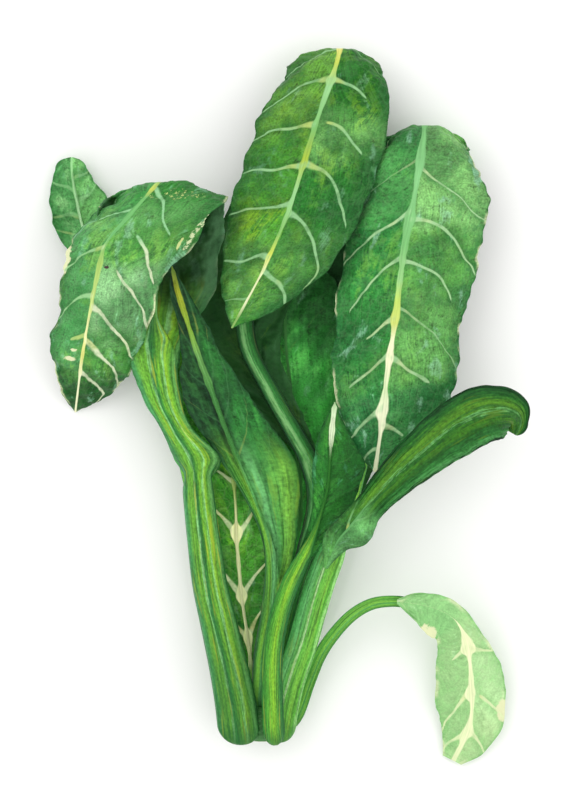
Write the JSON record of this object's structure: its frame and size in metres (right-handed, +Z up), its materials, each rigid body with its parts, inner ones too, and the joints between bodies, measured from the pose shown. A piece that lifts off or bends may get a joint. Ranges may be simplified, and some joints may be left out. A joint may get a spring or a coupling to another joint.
{
  "type": "perpetual spinach plant",
  "caption": "Whole cut plant of perpetual spinach: ribbed green stalks fan from a crown to long glossy blades, the outer ones folded back over their stalks.",
  "frame": {"origin": "middle of the bottom of the plant's box, on the surface that the plant lies on", "axes": "+Y runs from the crown along the stalks to the folded tops, +Z is up from the surface, +X is to the right when the plant is seen from above with the crown nearest"},
  "size_m": [0.2422, 0.3622, 0.0609],
  "materials": {
    "stalk_skin": "satin",
    "bright_blade": "satin",
    "deep_blade": "satin",
    "pale_blade": "satin",
    "crown_flesh": "matte"
  },
  "bodies": {
    "root": {"crown": "crown_flesh", "left_leaf_stalk": "stalk_skin", "left_leaf_blade": "bright_blade", "tall_leaf_stalk": "stalk_skin", "tall_leaf_blade": "bright_blade", "right_leaf_stalk": "stalk_skin", "right_leaf_blade": "bright_blade", "shaded_leaf_stalk": "stalk_skin", "shaded_leaf_blade": "deep_blade", "far_left_leaf_stalk": "stalk_skin", "far_left_leaf_blade": "pale_blade", "curled_leaf_stalk": "stalk_skin", "curled_leaf_blade": "deep_blade", "low_leaf_stalk": "stalk_skin", "low_leaf_blade": "pale_blade", "gap_leaf_stalk": "stalk_skin", "gap_leaf_blade": "bright_blade", "inner_leaf_stalk": "stalk_skin", "inner_leaf_blade": "deep_blade", "heart_leaf_stalk": "stalk_skin", "heart_leaf_blade": "bright_blade"}
  },
  "joints": []
}
